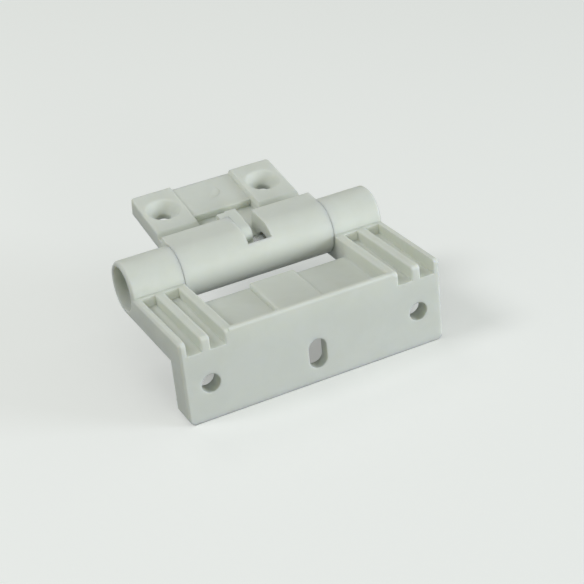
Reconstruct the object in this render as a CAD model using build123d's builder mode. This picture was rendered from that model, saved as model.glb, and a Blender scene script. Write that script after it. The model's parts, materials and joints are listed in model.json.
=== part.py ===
"""Screen door hinge: a flanged bracket with two cored arms, and a leaf that swings between them.

X runs along the hinge axis, +Y from the flange towards the barrel and +Z up. The origin lies on
the flange's flat face, midway between its two round screw holes.
"""
import math
import os

from build123d import *

# Flange
flange_length = 64.0
flange_height = 20.6
flange_thickness = 2.75
flange_rib_thickness = 1.8
flange_rib_depth = 6.6
flange_corner_width = 1.3
flange_corner_height = 1.1
screw_spacing = 51.6
screw_hole_radius = 2.25
screw_hole_drop = 11.6
screw_land_radius = 4.2
screw_land_height = 0.9
slot_width = 4.45
slot_length = 7.35
slot_drop = 13.4
gate_radius = 0.6
gate_height = 0.7
gate_drop = 17.5

# Arms
arm_width = 12.85
arm_fall = 1.17
arm_underside_drop = 7.1
arm_outer_wall = 1.55
arm_inner_wall = 2.15
arm_pocket_width = 3.5
arm_pocket_depth = 3.4
arm_pocket_end_wall = 0.9
arm_nose_radius = 0.9
rib_edge_radius = 0.4
outer_edge_chamfer = 0.5

# Slab between the arms
lip_thickness = 1.5
slab_drop = 4.6
slab_thickness = 2.6
slab_gap = 4.5
slab_corner_radius = 0.6
lip_edge_radius = 0.5
tab_width = 11.4
tab_height = 1.3
tab_edge_radius = 0.5

# Hinge axis and tubes
axis_reach = 32.4
axis_drop = 1.06
tube_radius = 6.5
tube_core_radius = 5.3
tube_core_depth = 7.5
side_gap = 0.08

# Leaf
leaf_rise = 10.6
leaf_side_step = 0.67
leaf_reach = 26.85
leaf_pad_height = 3.8
leaf_underside = 0.17
leaf_corner_radius = 1.0
leaf_edge_radius = 0.4
leaf_pad_width = 10.4
recess_side_run = 0.5
recess_depth = 1.07
pocket_reach = 14.4
pocket_depth = 1.8
trench_start = 9.7
pad_start = 11.1
block_reach = 6.46
block_height = 5.8
leaf_screw_inset = 5.2
leaf_screw_reach = 19.0
leaf_screw_radius = 1.8
countersink_radius = 4.1
countersink_angle = 82.0
countersink_edge_radius = 0.8
ejector_mark_radius = 2.25
ejector_mark_slope = 0.06
ejector_mark_reach = 21.5
ejector_mark_offset = 0.4

# Notch in the top of the barrel
notch_left = -2.1
notch_right = 3.9
notch_front = 4.16

# Pins, lug and spring
pin_radius = 2.94
run_clearance = 0.06
press_interference = 0.02
pin_travel = 3.0
pin_point = 0.6
retract_margin = 0.15
neck_radius = 1.9
neck_clearance = 0.03
lug_thickness = 2.75
lug_gap = 0.1
lug_tongue_front = 0.85
lug_reach = 8.8
lug_pad_left = -4.1
lug_pad_underside = 3.1
lug_front_radius = 2.2
lug_back_radius = 0.5
lug_sleeve_radius = 2.45
lug_sleeve_length = 4.25
spring_wire = 0.55
spring_turns = 4.0
spring_neck_gap = 0.1
fixed_pin_start = 12.0
fixed_pin_engagement = 4.6

# Places that follow from the sizes above
half_length = flange_length / 2
arm_inner = half_length - arm_width
top = screw_hole_drop
bottom = top - flange_height
axis_z = top - axis_drop
slab_top = top - slab_drop
slab_bottom = slab_top - slab_thickness
flange_top = slab_bottom + slab_thickness / 2
tube_front = axis_reach - tube_radius
slab_reach = tube_front - slab_gap
arm_pocket_reach = tube_front - arm_pocket_end_wall
barrel_half = arm_inner - side_gap
leaf_half_width = barrel_half - leaf_side_step
leaf_screw_spacing = 2 * (leaf_half_width - leaf_screw_inset)
recess_half_width = leaf_half_width - leaf_pad_width
recess_floor_half_width = recess_half_width - recess_side_run
bore_radius = pin_radius + run_clearance
leaf_angle = math.radians(leaf_rise)
along = Vector(0, math.cos(leaf_angle), math.sin(leaf_angle))
outward = Vector(0, -math.sin(leaf_angle), math.cos(leaf_angle))
axis_point = Vector(0, axis_reach, axis_z)
hinge_axis = Axis(axis_point, (1, 0, 0))
axial_section = Plane(origin=axis_point, x_dir=(1, 0, 0), z_dir=(0, -1, 0))
leaf_section = Plane(origin=axis_point, x_dir=along, z_dir=(1, 0, 0))
leaf_top = Plane(origin=axis_point + outward * leaf_pad_height, x_dir=(1, 0, 0), z_dir=outward)
recess_floor = leaf_pad_height - recess_depth

os.makedirs("parts", exist_ok=True)


# The bracket is symmetric, so its right half is built and mirrored.
with BuildPart() as frame_bracket:
    # Arm and tube: the arm's top falls a little towards the tube, its underside is tangent to it.
    with BuildSketch(Plane.YZ.offset(arm_inner)):
        with BuildLine():
            Polyline(
                (0, top),
                (axis_reach, top - arm_fall),
                (axis_reach, axis_z - tube_radius),
                (0, top - arm_underside_drop),
                close=True,
            )
        make_face()
        with Locations((axis_reach, axis_z)):
            Circle(tube_radius)
    extrude(amount=arm_width)

    # Flange with its cut-away lower corner, and the rib along its end.
    rib_start = half_length - flange_rib_thickness
    for inner, depth in ((0, flange_thickness), (rib_start, flange_rib_depth)):
        with BuildSketch(Plane.XZ):
            with BuildLine():
                Polyline(
                    (inner, flange_top),
                    (inner, bottom),
                    (half_length - flange_corner_width, bottom),
                    (half_length, bottom + flange_corner_height),
                    (half_length, flange_top),
                    close=True,
                )
            make_face()
        extrude(amount=-depth)

    # Rounded nose of the arm, and the broken edge round the end face.
    nose = frame_bracket.edges().filter_by(Axis.X).sort_by(Axis.Z)[-1]
    fillet(nose, arm_nose_radius)
    end_face = frame_bracket.faces().sort_by(Axis.X)[-1]
    chamfer(end_face.outer_wire().edges(), outer_edge_chamfer)

    # Two open-fronted pockets, which leave three ribs along the arm.
    outer_pocket = half_length - arm_outer_wall - arm_pocket_width / 2
    inner_pocket = arm_inner + arm_inner_wall + arm_pocket_width / 2
    with BuildSketch(Plane.XZ):
        with Locations((outer_pocket, top - arm_pocket_depth), (inner_pocket, top - arm_pocket_depth)):
            Rectangle(arm_pocket_width, 2 * arm_pocket_depth, align=(Align.CENTER, Align.MIN))
    extrude(amount=-arm_pocket_reach, mode=Mode.SUBTRACT)
    arm_top = Axis((0, 0, top), (0, axis_reach, -arm_fall))
    rib_edges = frame_bracket.edges().filter_by(arm_top)
    fillet(rib_edges.filter_by_position(Axis.X, arm_inner, half_length - arm_outer_wall), rib_edge_radius)

    # Slab, with a small radius where it meets the arm.
    with BuildSketch(Plane.XZ) as slab:
        with BuildLine():
            Polyline(
                (0, slab_bottom),
                (arm_inner + slab_corner_radius, slab_bottom),
                (arm_inner + slab_corner_radius, slab_top + 2 * slab_corner_radius),
                (arm_inner, slab_top + 2 * slab_corner_radius),
                (arm_inner, slab_top),
                (0, slab_top),
                close=True,
            )
        make_face()
        fillet(slab.vertices().group_by(Axis.X)[1].sort_by(Axis.Y)[0], slab_corner_radius)
    extrude(amount=-slab_reach)

    # Raised tab on the slab, rounded along its back and sides.
    with BuildSketch(Plane.YZ) as tab:
        with Locations((0, slab_bottom)):
            Rectangle(slab_reach, slab_thickness + tab_height, align=(Align.MIN, Align.MIN))
        fillet(tab.vertices().group_by(Axis.X)[-1].sort_by(Axis.Y)[-1], tab_edge_radius)
    extrude(amount=tab_width / 2)
    tab_side = (
        frame_bracket.edges()
        .filter_by(Axis.Y)
        .filter_by_position(Axis.X, tab_width / 2, tab_width / 2)
        .sort_by(Axis.Z)[-1]
    )
    fillet(tab_side, tab_edge_radius)

    # Thin lip across the front.
    with BuildSketch(Plane.XZ):
        with Locations((0, slab_bottom)):
            Rectangle(arm_inner + arm_inner_wall / 2, top - slab_bottom, align=(Align.MIN, Align.MIN))
    extrude(amount=-lip_thickness)
    lip_edges = frame_bracket.edges().filter_by(Axis.X).group_by(Axis.Z)[-1]
    fillet(lip_edges, lip_edge_radius)

    # Land behind the screw hole.
    with BuildSketch(Plane.XZ.offset(-flange_thickness)):
        with Locations((screw_spacing / 2, 0)):
            Circle(screw_land_radius)
    extrude(amount=-screw_land_height)

    # Screw hole, half of the middle slot, the tube's core and its pin hole.
    with BuildSketch(Plane.XZ):
        with Locations((screw_spacing / 2, 0)):
            Circle(screw_hole_radius)
        with Locations((0, top - slot_drop)):
            SlotOverall(slot_length, slot_width, rotation=90)
    extrude(amount=-flange_rib_depth, mode=Mode.SUBTRACT)
    with BuildSketch(Plane.YZ.offset(half_length)):
        with Locations((axis_reach, axis_z)):
            Circle(tube_core_radius)
    extrude(amount=-tube_core_depth, mode=Mode.SUBTRACT)
    with BuildSketch(Plane.YZ.offset(arm_inner)):
        with Locations((axis_reach, axis_z)):
            Circle(bore_radius)
    extrude(amount=arm_width, mode=Mode.SUBTRACT)

    mirror(about=Plane.YZ)

    # Stub of the moulding gate on the back of the left rib.
    with BuildSketch(Plane.XZ.offset(-flange_rib_depth)):
        with Locations((-half_length + flange_rib_thickness / 2, top - gate_drop)):
            Circle(gate_radius)
    extrude(amount=-gate_height)

frame_bracket.part.label = "frame_bracket"
export_step(frame_bracket.part, "parts/frame_bracket.step")


with BuildPart() as door_leaf:
    # Plate with a ramped trench behind the block.
    with BuildSketch(leaf_section.offset(-leaf_half_width)):
        with BuildLine():
            Polyline(
                (0, -leaf_underside),
                (leaf_reach, -leaf_underside),
                (leaf_reach, leaf_pad_height),
                (pad_start, leaf_pad_height),
                (trench_start, recess_floor),
                (0, recess_floor),
                close=True,
            )
        make_face()
    extrude(amount=2 * leaf_half_width)
    far_corners = door_leaf.edges().filter_by(Axis(axis_point, outward)).sort_by(Axis.Y)[-2:]
    fillet(far_corners, leaf_corner_radius)
    pad_face = door_leaf.faces().sort_by(Axis(axis_point, outward))[-1]
    fillet(pad_face.outer_wire().edges(), leaf_edge_radius)

    # Recess with sloping sides between the pads, and the deeper pocket behind the block.
    with BuildSketch(Plane(origin=axis_point + along * leaf_reach, x_dir=(1, 0, 0), z_dir=-along)):
        with BuildLine():
            Polyline(
                (-recess_half_width, leaf_pad_height),
                (-recess_floor_half_width, recess_floor),
                (recess_floor_half_width, recess_floor),
                (recess_half_width, leaf_pad_height),
                close=True,
            )
        make_face()
    extrude(amount=leaf_reach - block_reach, mode=Mode.SUBTRACT)
    with BuildSketch(leaf_top.offset(-recess_depth - pocket_depth)):
        Rectangle(2 * recess_floor_half_width, pocket_reach, align=(Align.CENTER, Align.MIN))
    extrude(amount=recess_depth + pocket_depth, mode=Mode.SUBTRACT)

    # Barrel, with a block whose flat top runs off tangent to it.
    block_radius = math.hypot(block_reach, block_height)
    tangent_angle = math.atan2(block_height, block_reach) + math.acos(tube_radius / block_radius)
    tangent_point = (tube_radius * math.cos(tangent_angle), tube_radius * math.sin(tangent_angle))
    with BuildSketch(leaf_section.offset(-barrel_half)):
        Circle(tube_radius)
        with BuildLine():
            Polyline(
                (0, 0),
                tangent_point,
                (block_reach, block_height),
                (block_reach, -leaf_underside),
                (0, -leaf_underside),
                close=True,
            )
        make_face()
    extrude(amount=2 * barrel_half)

    # Bore from end to end.
    with BuildSketch(leaf_section.offset(-barrel_half)):
        Circle(bore_radius)
    extrude(amount=2 * barrel_half, mode=Mode.SUBTRACT)

    # Notch through the top of the barrel and the back of the block, down to the bore.
    with BuildSketch(leaf_section.offset(notch_left)):
        with BuildLine():
            Polyline(
                (-notch_front, 0),
                (-notch_front, 2 * tube_radius),
                (2 * tube_radius, 2 * tube_radius),
                (2 * tube_radius, recess_floor - pocket_depth),
                (bore_radius, recess_floor - pocket_depth),
                (bore_radius, 0),
                close=True,
            )
        make_face()
    extrude(amount=notch_right - notch_left, mode=Mode.SUBTRACT)

    # Countersunk screw holes with softened rims.
    with Locations(leaf_top):
        with Locations((0, leaf_screw_reach)):
            with GridLocations(leaf_screw_spacing, 0, 2, 1):
                CounterSinkHole(leaf_screw_radius, countersink_radius, counter_sink_angle=countersink_angle)
    rims = door_leaf.edges(Select.LAST).filter_by(GeomType.CIRCLE).group_by(SortBy.RADIUS)[-1]
    fillet(rims, countersink_edge_radius)

    # Round ejector mark in the recess, pressed in a little deeper towards its front right.
    mark_centre = axis_point + along * ejector_mark_reach + outward * recess_floor
    mark_normal = outward + (Vector(1, 0, 0) - along) * ejector_mark_slope
    with BuildSketch(Plane(origin=mark_centre + Vector(ejector_mark_offset, 0, 0), z_dir=mark_normal)):
        Circle(ejector_mark_radius)
    extrude(amount=recess_depth, mode=Mode.SUBTRACT)

door_leaf.part.label = "door_leaf"
export_step(door_leaf.part, "parts/door_leaf.step")


# Lug: a collar and sleeve on the pin's neck, a tongue up through the notch and a thumb pad behind
# the block, flush with the tongue's right face.
lug_left = notch_left + lug_gap
lug_right = lug_left + lug_thickness
sleeve_end = lug_right + lug_sleeve_length
with BuildPart() as thumb_lug:
    with BuildSketch(leaf_section.offset(lug_left)) as tongue:
        with BuildLine():
            Polyline(
                (-lug_tongue_front, 0),
                (-lug_tongue_front, block_height),
                (lug_reach, block_height),
                (lug_reach, lug_pad_underside),
                (pin_radius, lug_pad_underside),
                (pin_radius, 0),
                close=True,
            )
        make_face()
        top_corners = tongue.vertices().group_by(Axis.Y)[-1].sort_by(Axis.X)
        fillet(top_corners[0], lug_front_radius)
        fillet(top_corners[-1], lug_back_radius)
        Circle(pin_radius)
        Circle(neck_radius + neck_clearance, mode=Mode.SUBTRACT)
    extrude(amount=lug_thickness)
    with BuildSketch(leaf_section.offset(lug_left)):
        Circle(lug_sleeve_radius)
        Circle(neck_radius + neck_clearance, mode=Mode.SUBTRACT)
    extrude(amount=sleeve_end - lug_left)
    with BuildSketch(leaf_section.offset(lug_pad_left)) as pad:
        with Locations((block_reach + lug_gap, lug_pad_underside)):
            Rectangle(
                lug_reach - block_reach - lug_gap,
                block_height - lug_pad_underside,
                align=(Align.MIN, Align.MIN),
            )
        fillet(pad.vertices().group_by(Axis.Y)[-1].sort_by(Axis.X)[-1], lug_back_radius)
    extrude(amount=lug_right - lug_pad_left)

thumb_lug.part.label = "thumb_lug"
export_step(thumb_lug.part, "parts/thumb_lug.step")


# Sliding pin: a blunt-pointed head in the tube and barrel, and a neck for the lug and spring.
pin_tip = -arm_inner - (pin_travel - side_gap - retract_margin)
neck_end = fixed_pin_start - pin_travel - retract_margin
with BuildPart() as slide_pin:
    with BuildSketch(axial_section):
        with BuildLine():
            Polyline(
                (pin_tip, 0),
                (pin_tip, pin_radius - pin_point),
                (pin_tip + pin_point, pin_radius),
                (lug_left, pin_radius),
                (lug_left, neck_radius),
                (neck_end, neck_radius),
                (neck_end, 0),
                close=True,
            )
        make_face()
    revolve(axis=hinge_axis)

slide_pin.part.label = "slide_pin"
export_step(slide_pin.part, "parts/slide_pin.step")


# Spring: a coil on the neck between the lug's sleeve and the fixed pin, its wire drawn six-sided.
spring_radius = neck_radius + spring_neck_gap + spring_wire / 2
coil_length = fixed_pin_start - sleeve_end - spring_wire
with BuildPart() as return_spring:
    with BuildLine():
        coil = Helix(
            coil_length / spring_turns,
            coil_length,
            spring_radius,
            center=axis_point + Vector(sleeve_end + spring_wire / 2, 0, 0),
            direction=(1, 0, 0),
        )
    with BuildSketch(Plane(origin=coil @ 0, z_dir=coil % 0)):
        RegularPolygon(spring_wire / 2, 6)
    sweep(path=coil, is_frenet=True)

return_spring.part.label = "return_spring"
export_step(return_spring.part, "parts/return_spring.step")


# Fixed pin: pressed into the barrel, with a journal in the right tube.
pressed_radius = bore_radius + press_interference
fixed_pin_end = arm_inner + fixed_pin_engagement
with BuildPart() as fixed_pin:
    with BuildSketch(axial_section):
        with BuildLine():
            Polyline(
                (fixed_pin_start, 0),
                (fixed_pin_start, pressed_radius),
                (barrel_half, pressed_radius),
                (barrel_half, pin_radius),
                (fixed_pin_end - pin_point, pin_radius),
                (fixed_pin_end, pin_radius - pin_point),
                (fixed_pin_end, 0),
                close=True,
            )
        make_face()
    revolve(axis=hinge_axis)

fixed_pin.part.label = "fixed_pin"
export_step(fixed_pin.part, "parts/fixed_pin.step")
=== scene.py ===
"""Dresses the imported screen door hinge: moulded plastic, ground pins and a wound spring.

Everything is in metres in the hinge's own frame: X along the hinge axis, +Y from the flange
towards the barrel, +Z up, with the origin on the flange's flat face between its screw holes.
"""
import json
import math

import bmesh
import bpy
from bpy.props import FloatProperty, PointerProperty, StringProperty
from mathutils import Matrix, Vector


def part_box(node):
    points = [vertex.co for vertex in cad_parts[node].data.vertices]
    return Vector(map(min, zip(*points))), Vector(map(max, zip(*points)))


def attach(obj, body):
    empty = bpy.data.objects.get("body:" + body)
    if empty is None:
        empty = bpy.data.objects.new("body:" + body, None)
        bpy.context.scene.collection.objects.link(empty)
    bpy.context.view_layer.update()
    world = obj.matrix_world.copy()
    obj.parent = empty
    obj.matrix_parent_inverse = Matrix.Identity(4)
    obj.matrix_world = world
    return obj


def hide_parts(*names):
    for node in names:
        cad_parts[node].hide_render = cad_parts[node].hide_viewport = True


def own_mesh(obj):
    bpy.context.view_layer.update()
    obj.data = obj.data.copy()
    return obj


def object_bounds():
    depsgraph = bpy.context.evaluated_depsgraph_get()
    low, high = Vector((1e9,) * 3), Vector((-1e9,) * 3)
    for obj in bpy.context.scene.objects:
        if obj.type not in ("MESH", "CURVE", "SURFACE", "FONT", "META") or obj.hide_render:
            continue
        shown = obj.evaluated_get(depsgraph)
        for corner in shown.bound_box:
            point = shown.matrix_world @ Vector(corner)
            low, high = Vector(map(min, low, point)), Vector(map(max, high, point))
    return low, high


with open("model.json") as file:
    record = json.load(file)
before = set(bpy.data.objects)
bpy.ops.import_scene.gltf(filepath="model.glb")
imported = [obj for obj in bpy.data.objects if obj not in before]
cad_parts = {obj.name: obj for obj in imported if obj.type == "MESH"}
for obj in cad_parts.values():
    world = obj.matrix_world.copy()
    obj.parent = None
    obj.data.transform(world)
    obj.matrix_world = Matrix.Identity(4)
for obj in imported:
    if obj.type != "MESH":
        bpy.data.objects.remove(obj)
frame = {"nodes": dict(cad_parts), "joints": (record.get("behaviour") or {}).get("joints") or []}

bl_info = {
    "name": "Screen Door Hinge",
    "version": (1, 0, 0),
    "blender": (4, 5, 0),
    "location": "3D View > Sidebar > Hinge",
    "description": "Finishes the pieces of a moulded screen door hinge and lights them",
    "category": "Object",
}

CAD_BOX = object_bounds()
MM = 0.001

# The swing as the imported joints give it, its axis, and where the spring lies.
SWING = next(j for j in frame["joints"] if j["name"] == "leaf_swing")
AXIS = Vector(SWING["pos_m"])
SPRING_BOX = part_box("return_spring")

# The plastics: how far light sinks in, the share of that for red, green and blue, and the radius
# of the softened edges.
SCATTER_DEPTH = 2.0 * MM
SCATTER_SHARES = (1.0, 0.94, 0.78)
EDGE_RADIUS = 0.38 * MM

# The coil: the pitch of a closed end turn in wire diameters, sides of the wire, steps in a turn,
# and how near two points lie that are one.
CLOSED_PITCH = 1.06
WIRE_SIDES = 12
TURN_STEPS = 24
SAME_POINT = 0.001 * MM

# The stage: the floor's half width, its squares, its gap below the hinge, the lamps' distance and
# width, and the backdrop's brightness.
FLOOR_HALF = 3.0
FLOOR_SQUARES = 8
FLOOR_GAP = 0.02 * MM
LAMP_REACH = 0.75
LAMP_WIDTH = 0.3
BACKDROP_STRENGTH = 0.9

# The camera as fitted to the photograph: its place, its own right, up and ahead, and its lens.
CAMERA_PLACE = Vector((-126.49, -273.26, 180.86)) * MM
CAMERA_RIGHT = Vector((0.88705, -0.45205, -0.09373))
CAMERA_UP = Vector((0.29374, 0.39602, 0.86999))
CAMERA_AHEAD = Vector((0.35616, 0.79926, -0.48408))
CAMERA_LENS = 98.4
CAMERA_SENSOR = 36.0

# Sockets of the Mix node's colours, whose names are shared with its other kinds.
MIX_FACTOR, MIX_A, MIX_B, MIX_RESULT = 0, 6, 7, 2


def linear(code):
    """Turns an sRGB hex colour into linear red, green, blue and alpha."""
    channels = [int(code.lstrip("#")[i:i + 2], 16) / 255 for i in (0, 2, 4)]
    return [c / 12.92 if c <= 0.04045 else ((c + 0.055) / 1.055) ** 2.4 for c in channels] + [1.0]


def add_node(material, kind, settings=None, inputs=None):
    """Adds a node, sets its settings, then fills or links each named or numbered input."""
    tree = material.node_tree
    node = tree.nodes.new(kind)
    for name, value in (settings or {}).items():
        setattr(node, name, value)
    for key, value in (inputs or {}).items():
        if isinstance(value, bpy.types.NodeSocket):
            tree.links.new(value, node.inputs[key])
        else:
            node.inputs[key].default_value = value
    return node


def new_material(name):
    """Makes a material with an empty node tree."""
    material = bpy.data.materials.new(name)
    material.use_nodes = True
    material.node_tree.nodes.clear()
    return material


def finish_material(material, shader):
    """Joins a shader to the material's output and gives the material back."""
    add_node(material, "ShaderNodeOutputMaterial", inputs={"Surface": shader.outputs[0]})
    return material


def per_mm(size):
    """Noise scale whose features are about so many millimetres, on coordinates in metres."""
    return 1 / (size * MM)


def moulded_plastic(
    name, base, clouded, speck, edge, roughness, subsurface, ior, grain_mm, shift_mm
):
    """A thermoplastic as it leaves a spark-eroded mould: a fine even grain, faint clouding where
    the melt flowed, slightly paler edges, and light that sinks in. The shift moves the pattern, so
    that two plastics don't carry the same clouds."""
    material = new_material(name)
    place = add_node(material, "ShaderNodeTexCoord").outputs["Object"]
    shifted = add_node(
        material,
        "ShaderNodeMapping",
        inputs={"Vector": place, "Location": (shift_mm * MM, -shift_mm * MM, 0)},
    ).outputs[0]

    # Clouding: slow changes over about a centimetre, a little stirred.
    clouds = add_node(
        material,
        "ShaderNodeTexNoise",
        inputs={
            "Vector": shifted,
            "Scale": per_mm(9),
            "Detail": 3.0,
            "Roughness": 0.55,
            "Distortion": 0.8,
        },
    ).outputs["Fac"]
    # Specks: a few faint darker spots of about a millimetre.
    specks = add_node(
        material,
        "ShaderNodeTexNoise",
        inputs={"Vector": shifted, "Scale": per_mm(1.1), "Detail": 4.0, "Roughness": 0.7},
    ).outputs["Fac"]
    cloud_mask = add_node(
        material,
        "ShaderNodeMapRange",
        {"interpolation_type": "SMOOTHSTEP"},
        {"Value": clouds, "From Min": 0.35, "From Max": 0.68},
    ).outputs[0]
    with_clouds = add_node(
        material,
        "ShaderNodeMix",
        {"data_type": "RGBA"},
        {MIX_FACTOR: cloud_mask, MIX_A: linear(base), MIX_B: linear(clouded)},
    ).outputs[MIX_RESULT]
    speck_mask = add_node(
        material,
        "ShaderNodeMapRange",
        {"interpolation_type": "SMOOTHSTEP"},
        {"Value": specks, "From Min": 0.66, "From Max": 0.8, "To Max": 0.2},
    ).outputs[0]
    with_specks = add_node(
        material,
        "ShaderNodeMix",
        {"data_type": "RGBA"},
        {MIX_FACTOR: speck_mask, MIX_A: with_clouds, MIX_B: linear(speck)},
    ).outputs[MIX_RESULT]

    # Softened edges: the bevelled normal leaves the true one only near an edge.
    soft = add_node(
        material, "ShaderNodeBevel", {"samples": 8}, {"Radius": EDGE_RADIUS}
    ).outputs[0]
    true = add_node(material, "ShaderNodeNewGeometry").outputs["Normal"]
    facing = add_node(
        material, "ShaderNodeVectorMath", {"operation": "DOT_PRODUCT"}, {0: soft, 1: true}
    ).outputs["Value"]
    edge_mask = add_node(
        material,
        "ShaderNodeMapRange",
        inputs={"Value": facing, "From Min": 0.995, "From Max": 0.85, "To Max": 0.1},
    ).outputs[0]
    with_edges = add_node(
        material,
        "ShaderNodeMix",
        {"data_type": "RGBA"},
        {MIX_FACTOR: edge_mask, MIX_A: with_specks, MIX_B: linear(edge)},
    ).outputs[MIX_RESULT]

    # Roughness follows the clouding. The mould's grain, which is really finer than a tenth of a
    # millimetre, is drawn coarser so that it shows, over a slight waviness from shrinking.
    grain = add_node(
        material,
        "ShaderNodeTexNoise",
        inputs={"Vector": shifted, "Scale": per_mm(grain_mm), "Detail": 2.0, "Roughness": 0.6},
    ).outputs["Fac"]
    matt = add_node(
        material,
        "ShaderNodeMapRange",
        inputs={
            "Value": clouds,
            "From Min": 0.3,
            "From Max": 0.7,
            "To Min": roughness - 0.05,
            "To Max": roughness + 0.05,
        },
    ).outputs[0]
    ripple = add_node(
        material,
        "ShaderNodeTexNoise",
        inputs={"Vector": shifted, "Scale": per_mm(4), "Detail": 1.0},
    ).outputs["Fac"]
    waves = add_node(
        material,
        "ShaderNodeBump",
        inputs={"Strength": 0.35, "Distance": 0.03 * MM, "Height": ripple, "Normal": soft},
    ).outputs[0]
    bumped = add_node(
        material,
        "ShaderNodeBump",
        inputs={"Strength": 0.35, "Distance": 0.012 * MM, "Height": grain, "Normal": waves},
    ).outputs[0]

    shader = add_node(
        material,
        "ShaderNodeBsdfPrincipled",
        {"subsurface_method": "RANDOM_WALK"},
        {
            "Base Color": with_edges,
            "Roughness": matt,
            "IOR": ior,
            "Normal": bumped,
            "Subsurface Weight": subsurface,
            "Subsurface Radius": SCATTER_SHARES,
            "Subsurface Scale": SCATTER_DEPTH,
        },
    )
    return finish_material(material, shader)


def worked_steel(name, light, dark, roughness, mark_mm):
    """Bright steel with the marks of its making, which run round the hinge's axis on a turned or
    ground piece and on the wound wire alike, so the highlight breaks into fine streaks. The real
    marks are some hundredths of a millimetre wide and are drawn coarser so that they show."""
    material = new_material(name)
    place = add_node(material, "ShaderNodeTexCoord").outputs["Object"]
    drawn = add_node(
        material, "ShaderNodeMapping", inputs={"Vector": place, "Scale": (1.0, 0.04, 0.04)}
    ).outputs[0]
    marks = add_node(
        material,
        "ShaderNodeTexNoise",
        inputs={"Vector": drawn, "Scale": per_mm(mark_mm), "Detail": 3.0, "Roughness": 0.6},
    ).outputs["Fac"]
    # Dulling: faint patches a few millimetres wide.
    stains = add_node(
        material,
        "ShaderNodeTexNoise",
        inputs={"Vector": place, "Scale": per_mm(2.5), "Detail": 3.0},
    ).outputs["Fac"]
    colour = add_node(
        material,
        "ShaderNodeMix",
        {"data_type": "RGBA"},
        {MIX_FACTOR: stains, MIX_A: linear(light), MIX_B: linear(dark)},
    ).outputs[MIX_RESULT]
    rough = add_node(
        material,
        "ShaderNodeMapRange",
        inputs={
            "Value": marks,
            "From Min": 0.3,
            "From Max": 0.7,
            "To Min": roughness - 0.08,
            "To Max": roughness + 0.1,
        },
    ).outputs[0]
    bumped = add_node(
        material,
        "ShaderNodeBump",
        inputs={"Strength": 0.3, "Distance": 0.01 * MM, "Height": marks},
    ).outputs[0]
    shader = add_node(
        material,
        "ShaderNodeBsdfPrincipled",
        inputs={"Base Color": colour, "Metallic": 1.0, "Roughness": rough, "Normal": bumped},
    )
    return finish_material(material, shader)


def seen_rays(owner):
    """1 for the rays that the camera, a reflection or a clear piece sends out, 0 for others."""
    rays = add_node(owner, "ShaderNodeLightPath")
    seen = rays.outputs["Is Camera Ray"]
    for kind in ("Is Glossy Ray", "Is Transmission Ray"):
        seen = add_node(
            owner, "ShaderNodeMath", {"operation": "MAXIMUM"}, {0: seen, 1: rays.outputs[kind]}
        ).outputs[0]
    return seen


def dress(obj, material):
    """Gives an object one material in place of what it has."""
    obj.data.materials.clear()
    obj.data.materials.append(material)
    for polygon in obj.data.polygons:
        polygon.material_index = 0


def make_object(name, bm, material):
    """Turns a bmesh into a smooth-shaded object of the scene."""
    mesh = bpy.data.meshes.new(name)
    bm.to_mesh(mesh)
    bm.free()
    obj = bpy.data.objects.new(name, mesh)
    bpy.context.scene.collection.objects.link(obj)
    dress(obj, material)
    for polygon in mesh.polygons:
        polygon.use_smooth = True
    return obj


class HingeFinish(bpy.types.PropertyGroup):
    """Colours of the two plastics, and where the lug's steel sleeve begins"""

    white: StringProperty(
        name="White plastic", description="sRGB colour of the moulded halves", default="#E0E3DA"
    )
    white_shade: StringProperty(
        name="White plastic, clouded",
        description="sRGB colour where the melt clouded",
        default="#DDE0D6",
    )
    lug: StringProperty(
        name="Lug plastic", description="sRGB colour of the thumb lug", default="#DEE2D9"
    )
    tongue_right: FloatProperty(
        name="Tongue's right face",
        description="Where the lug's plastic ends and its steel sleeve goes on, along the axis",
        default=0.8 * MM,
        subtype="DISTANCE",
        unit="LENGTH",
    )


class HingeSpring(bpy.types.PropertyGroup):
    """Sizes of the return spring"""

    wire: FloatProperty(
        name="Wire",
        description="Diameter of the spring's wire",
        default=0.55 * MM,
        subtype="DISTANCE",
        unit="LENGTH",
    )
    turns: FloatProperty(name="Turns", description="Number of working turns", default=4.0)


class HingeStage(bpy.types.PropertyGroup):
    """Colour of the floor and strengths of the lamps"""

    floor: StringProperty(
        name="Floor", description="sRGB colour of the floor", default="#E4E5E2"
    )
    key: FloatProperty(
        name="Key lamp",
        description="Power of the low lamp at the right",
        default=3.0,
        unit="POWER",
    )
    side: FloatProperty(
        name="Side lamp", description="Power of the lamp on the left", default=1.6, unit="POWER"
    )
    fill: FloatProperty(
        name="Fill lamp",
        description="Power of the low lamp in front",
        default=1.45,
        unit="POWER",
    )
    back: FloatProperty(
        name="Back lamp", description="Power of the lamp behind", default=0.38, unit="POWER"
    )
    room: FloatProperty(
        name="Room", description="Brightness of the even light all round", default=0.31, min=0
    )
    glow: FloatProperty(
        name="Floor glow",
        description="Brightness added to the floor as seen",
        default=0.36,
        min=0,
    )


class HINGE_OT_halves(bpy.types.Operator):
    """Finishes the bracket and the leaf as one white moulded plastic"""

    bl_idname = "hinge.halves"
    bl_label = "Finish the moulded halves"

    def execute(self, context):
        finish = context.scene.hinge_finish
        # Polyamide, moulded: satin and faintly cloudy, with soft edges that light sinks into.
        white = moulded_plastic(
            "Moulded white polyamide",
            base=finish.white,
            clouded=finish.white_shade,
            speck="#D3D3C7",
            edge="#E6E8E1",
            roughness=0.5,
            subsurface=0.85,
            ior=1.53,
            grain_mm=0.3,
            shift_mm=3.0,
        )
        for node in ("frame_bracket", "door_leaf"):
            dress(frame["nodes"][node], white)
        return {"FINISHED"}


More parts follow.
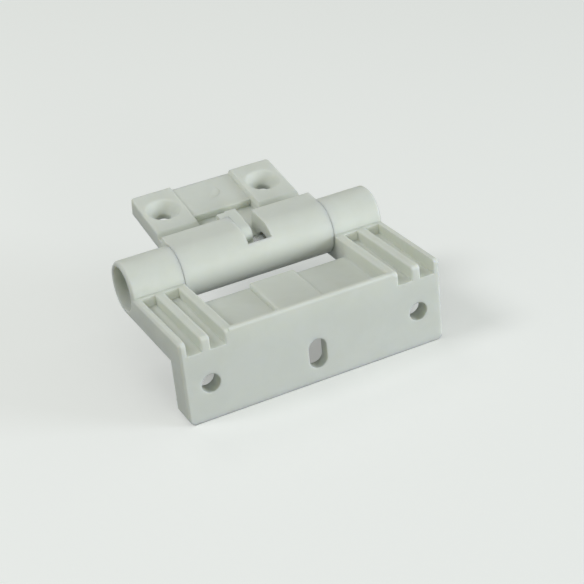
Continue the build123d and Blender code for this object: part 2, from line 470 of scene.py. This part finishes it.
class HINGE_OT_lug(bpy.types.Operator):
    """Finishes the thumb lug in its milky plastic, with a steel sleeve in the barrel"""

    bl_idname = "hinge.lug"
    bl_label = "Finish the thumb lug"

    def execute(self, context):
        finish = context.scene.hinge_finish
        # Acetal, moulded: a little smoother than the halves, with less light sinking in.
        milky = moulded_plastic(
            "Moulded natural acetal",
            base=finish.lug,
            clouded="#DADED4",
            speck="#D0D4CA",
            edge="#E4E7DF",
            roughness=0.4,
            subsurface=0.7,
            ior=1.48,
            grain_mm=0.35,
            shift_mm=11.0,
        )
        lug = frame["nodes"]["thumb_lug"]
        dress(lug, milky)
        # Steel, turned: fine rings that glint at the notch's bottom.
        lug.data.materials.append(
            worked_steel("Turned steel sleeve", "#C6C8C9", "#9DA0A2", 0.24, 0.12)
        )
        for polygon in lug.data.polygons:
            if polygon.center.x > finish.tongue_right:
                polygon.material_index = 1
        return {"FINISHED"}


class HINGE_OT_pins(bpy.types.Operator):
    """Finishes the sliding and the pressed pin in ground steel"""

    bl_idname = "hinge.pins"
    bl_label = "Finish the pins"

    def execute(self, context):
        # Steel, ground: bright and even, with a soft glint across fine rings.
        ground = worked_steel("Ground steel", "#C9CACB", "#AEB0B2", 0.28, 0.12)
        for node in ("slide_pin", "fixed_pin"):
            dress(frame["nodes"][node], ground)
        return {"FINISHED"}


class HINGE_OT_spring(bpy.types.Operator):
    """Winds the return spring from round wire, with its end turns closed"""

    bl_idname = "hinge.spring"
    bl_label = "Wind the return spring"

    def execute(self, context):
        sizes = context.scene.hinge_spring
        low, high = SPRING_BOX
        radius = (high.y - low.y - sizes.wire) / 2
        length = high.x - low.x - sizes.wire
        closed = sizes.wire * CLOSED_PITCH
        open_pitch = (length - 2 * closed) / sizes.turns
        start = Vector((low.x + sizes.wire / 2, AXIS.y, AXIS.z + radius))
        bm = bmesh.new()
        bmesh.ops.create_circle(
            bm,
            cap_ends=True,
            segments=WIRE_SIDES,
            radius=sizes.wire / 2,
            matrix=Matrix.Translation(start) @ Matrix.Rotation(math.pi / 2, 4, "X"),
        )
        # A closed turn, the working turns and a closed turn, each wound on from the last face,
        # which stays inside the wire at the two joins.
        geometry = bm.faces[:]
        for pitch, turns in ((closed, 1), (open_pitch, sizes.turns), (closed, 1)):
            turned = bmesh.ops.spin(
                bm,
                geom=geometry,
                cent=AXIS,
                axis=(1, 0, 0),
                dvec=(pitch / TURN_STEPS, 0, 0),
                angle=2 * math.pi * turns,
                steps=round(TURN_STEPS * turns),
                use_duplicate=False,
            )
            geometry = [g for g in turned["geom_last"] if isinstance(g, bmesh.types.BMFace)]
        bmesh.ops.remove_doubles(bm, verts=bm.verts, dist=SAME_POINT)
        bmesh.ops.recalc_face_normals(bm, faces=bm.faces)
        # Steel, drawn: duller than the pins, with lines along the wire.
        drawn = worked_steel("Drawn spring steel", "#BFC0C0", "#9C9EA0", 0.32, 0.1)
        coil = make_object("wound_spring", bm, drawn)
        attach(coil, "leaf")
        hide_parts("return_spring")
        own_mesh(coil)
        return {"FINISHED"}


class HINGE_OT_stage(bpy.types.Operator):
    """Lays the pale floor, hangs the soft lamps and sets the camera"""

    bl_idname = "hinge.stage"
    bl_label = "Light and frame the hinge"

    def execute(self, context):
        stage = context.scene.hinge_stage
        low, high = CAD_BOX
        bm = bmesh.new()
        bmesh.ops.create_grid(
            bm,
            x_segments=FLOOR_SQUARES,
            y_segments=FLOOR_SQUARES,
            size=FLOOR_HALF,
            matrix=Matrix.Translation((0, 0, low.z - FLOOR_GAP)),
        )
        floor = make_object("floor", bm, self.paper(stage))

        # Each lamp: degrees round to the left from straight ahead, degrees up, power and colour.
        middle = (low + high) / 2
        for name, azimuth, elevation, power, colour in (
            ("key_lamp", -50, 10, stage.key, "#EEF4FF"),
            ("side_lamp", 100, 50, stage.side, "#FAFAFF"),
            ("fill_lamp", 4, 6, stage.fill, "#FFFFFF"),
            ("back_lamp", 180, 50, stage.back, "#FFFFFF"),
        ):
            turn, rise = math.radians(azimuth), math.radians(elevation)
            spot = LAMP_REACH * Vector(
                (
                    -math.sin(turn) * math.cos(rise),
                    -math.cos(turn) * math.cos(rise),
                    math.sin(rise),
                )
            )
            lamp = bpy.data.lights.new(name, "AREA")
            lamp.shape = "DISK"
            lamp.size = LAMP_WIDTH
            lamp.energy = power
            lamp.color = linear(colour)[:3]
            obj = bpy.data.objects.new(name, lamp)
            obj.location = middle + spot
            obj.rotation_mode = "QUATERNION"
            obj.rotation_quaternion = (-spot).to_track_quat("-Z", "Y")
            obj.visible_camera = False
            context.scene.collection.objects.link(obj)
        self.room(context.scene, stage)
        self.camera(context.scene)
        context.scene.view_settings.view_transform = "Standard"
        return {"FINISHED"}

    def paper(self, stage):
        """Matt paper: faint fibre, lit by the lamps, with a plain glow that only the camera and
        reflections see, so the floor is pale and keeps its shadow. The light that it sends back
        to the hinge is that of a greyer floor, so the flange isn't lit too strongly from it."""
        paper = new_material("Pale matt paper")
        place = add_node(paper, "ShaderNodeTexCoord").outputs["Object"]
        fibre = add_node(
            paper,
            "ShaderNodeTexNoise",
            inputs={"Vector": place, "Scale": per_mm(0.8), "Detail": 4.0},
        ).outputs["Fac"]
        bumped = add_node(
            paper,
            "ShaderNodeBump",
            inputs={"Strength": 0.15, "Distance": 0.03 * MM, "Height": fibre},
        ).outputs[0]
        lit = add_node(
            paper,
            "ShaderNodeBsdfPrincipled",
            inputs={
                "Base Color": linear(stage.floor),
                "Roughness": 0.9,
                "Normal": bumped,
                "Specular IOR Level": 0.0,
                "Emission Color": linear(stage.floor),
                "Emission Strength": stage.glow,
            },
        ).outputs[0]
        plain = add_node(
            paper, "ShaderNodeBsdfDiffuse", inputs={"Color": linear("#666D6F")}
        ).outputs[0]
        seen = seen_rays(paper)
        return finish_material(
            paper, add_node(paper, "ShaderNodeMixShader", inputs={0: seen, 1: plain, 2: lit})
        )

    def room(self, scene, stage):
        """A dim even room, with a pale backdrop for the camera and reflections."""
        room = bpy.data.worlds.new("Pale room")
        room.use_nodes = True
        room.node_tree.nodes.clear()
        dim = add_node(
            room,
            "ShaderNodeBackground",
            inputs={"Color": linear("#F2FAF2"), "Strength": stage.room},
        ).outputs[0]
        pale = add_node(
            room,
            "ShaderNodeBackground",
            inputs={"Color": linear(stage.floor), "Strength": BACKDROP_STRENGTH},
        ).outputs[0]
        seen = seen_rays(room)
        mixed = add_node(
            room, "ShaderNodeMixShader", inputs={0: seen, 1: dim, 2: pale}
        ).outputs[0]
        add_node(room, "ShaderNodeOutputWorld", inputs={"Surface": mixed})
        scene.world = room

    def camera(self, scene):
        """The camera stands where the photograph was taken from."""
        camera = bpy.data.cameras.new("camera")
        camera.sensor_width = CAMERA_SENSOR
        camera.lens = CAMERA_LENS
        camera.clip_start = 0.02
        camera.clip_end = 20.0
        obj = bpy.data.objects.new("camera", camera)
        turn = Matrix((CAMERA_RIGHT, CAMERA_UP, -CAMERA_AHEAD)).transposed().to_4x4()
        obj.matrix_world = Matrix.Translation(CAMERA_PLACE) @ turn
        scene.collection.objects.link(obj)
        scene.camera = obj


OPERATORS = (HINGE_OT_halves, HINGE_OT_lug, HINGE_OT_pins, HINGE_OT_spring, HINGE_OT_stage)


class HINGE_PT_panel(bpy.types.Panel):
    """Lists the hinge's pieces and its stage"""

    bl_idname = "HINGE_PT_panel"
    bl_label = "Screen Door Hinge"
    bl_space_type = "VIEW_3D"
    bl_region_type = "UI"
    bl_category = "Hinge"

    def draw(self, context):
        for attribute, group in GROUPS:
            for name in group.__annotations__:
                self.layout.prop(getattr(context.scene, attribute), name)
        for operator in OPERATORS:
            self.layout.operator(operator.bl_idname)


GROUPS = (
    ("hinge_finish", HingeFinish),
    ("hinge_spring", HingeSpring),
    ("hinge_stage", HingeStage),
)


def register():
    """Registers the property groups, the operators and the panel."""
    for name, group in GROUPS:
        bpy.utils.register_class(group)
        setattr(bpy.types.Scene, name, PointerProperty(type=group))
    for cls in (*OPERATORS, HINGE_PT_panel):
        bpy.utils.register_class(cls)


def unregister():
    """Takes away what register put in, in the opposite order."""
    for cls in reversed((*OPERATORS, HINGE_PT_panel)):
        bpy.utils.unregister_class(cls)
    for name, group in reversed(GROUPS):
        delattr(bpy.types.Scene, name)
        bpy.utils.unregister_class(group)


def main():
    """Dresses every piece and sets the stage."""
    register()
    bpy.ops.hinge.halves()
    bpy.ops.hinge.lug()
    bpy.ops.hinge.pins()
    bpy.ops.hinge.spring()
    bpy.ops.hinge.stage()


if __name__ == "__main__":
    main()
